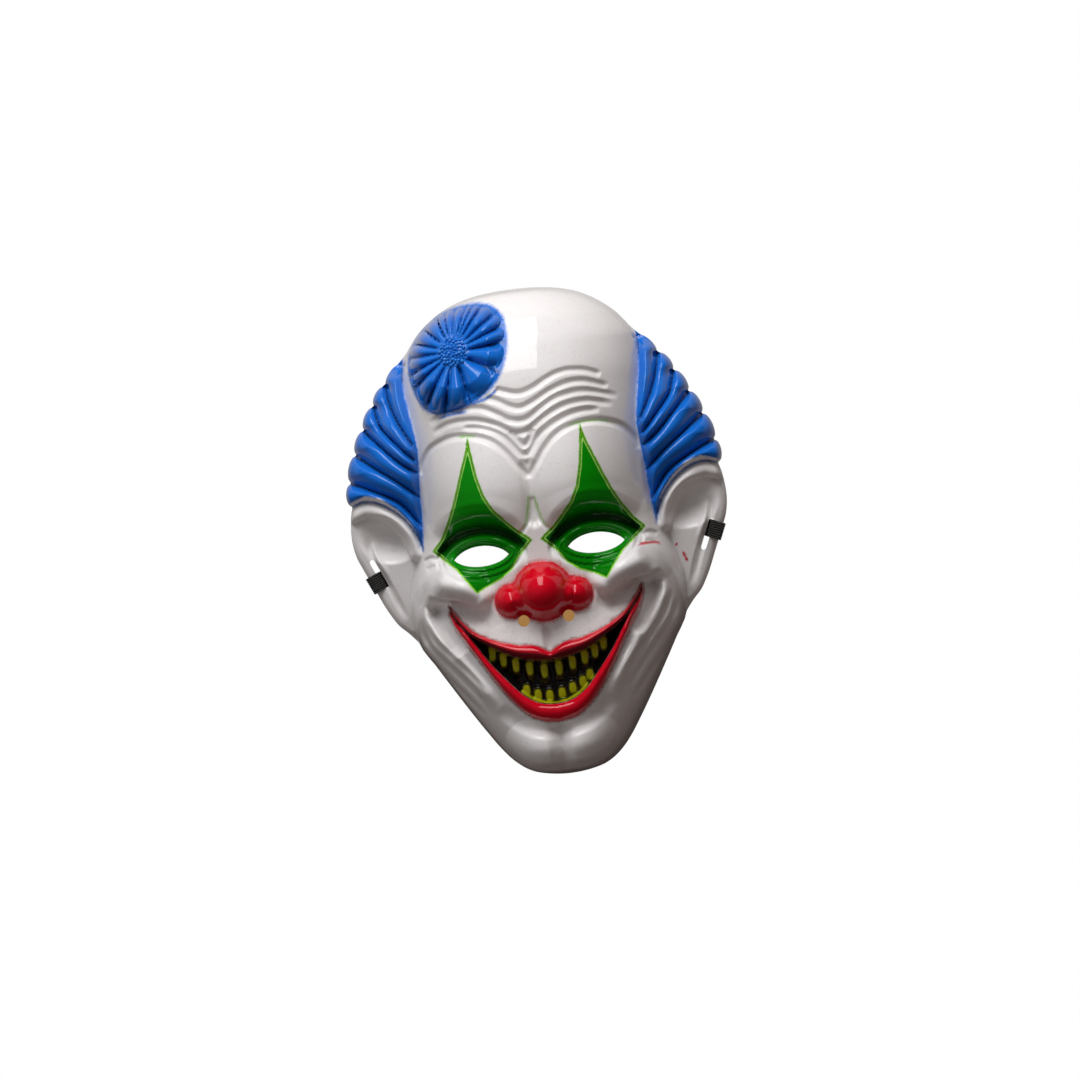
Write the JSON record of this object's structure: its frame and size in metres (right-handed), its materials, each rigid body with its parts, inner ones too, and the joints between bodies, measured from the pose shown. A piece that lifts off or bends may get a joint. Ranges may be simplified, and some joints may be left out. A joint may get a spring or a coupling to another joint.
{
  "type": "clown mask",
  "caption": "Full-face formed plastic clown mask with side hair, ears and a wide grin, worn on an elastic strap through slots beside the ears.",
  "frame": {"origin": "centre of the mask's box seen from the front, on the plane of the rim that it lies on", "axes": "+Z out of the face, +Y towards the crown, +X towards the wearer's left ear"},
  "size_m": [0.2108, 0.272, 0.0896],
  "materials": {
    "painted_pvc": "gloss white PVC sheet, airbrushed blue, green, red and black",
    "black_elastic": "woven black elastic with fine ribs"
  },
  "bodies": {
    "root": {"mask_shell": "painted_pvc", "elastic_strap": "black_elastic"}
  },
  "joints": []
}
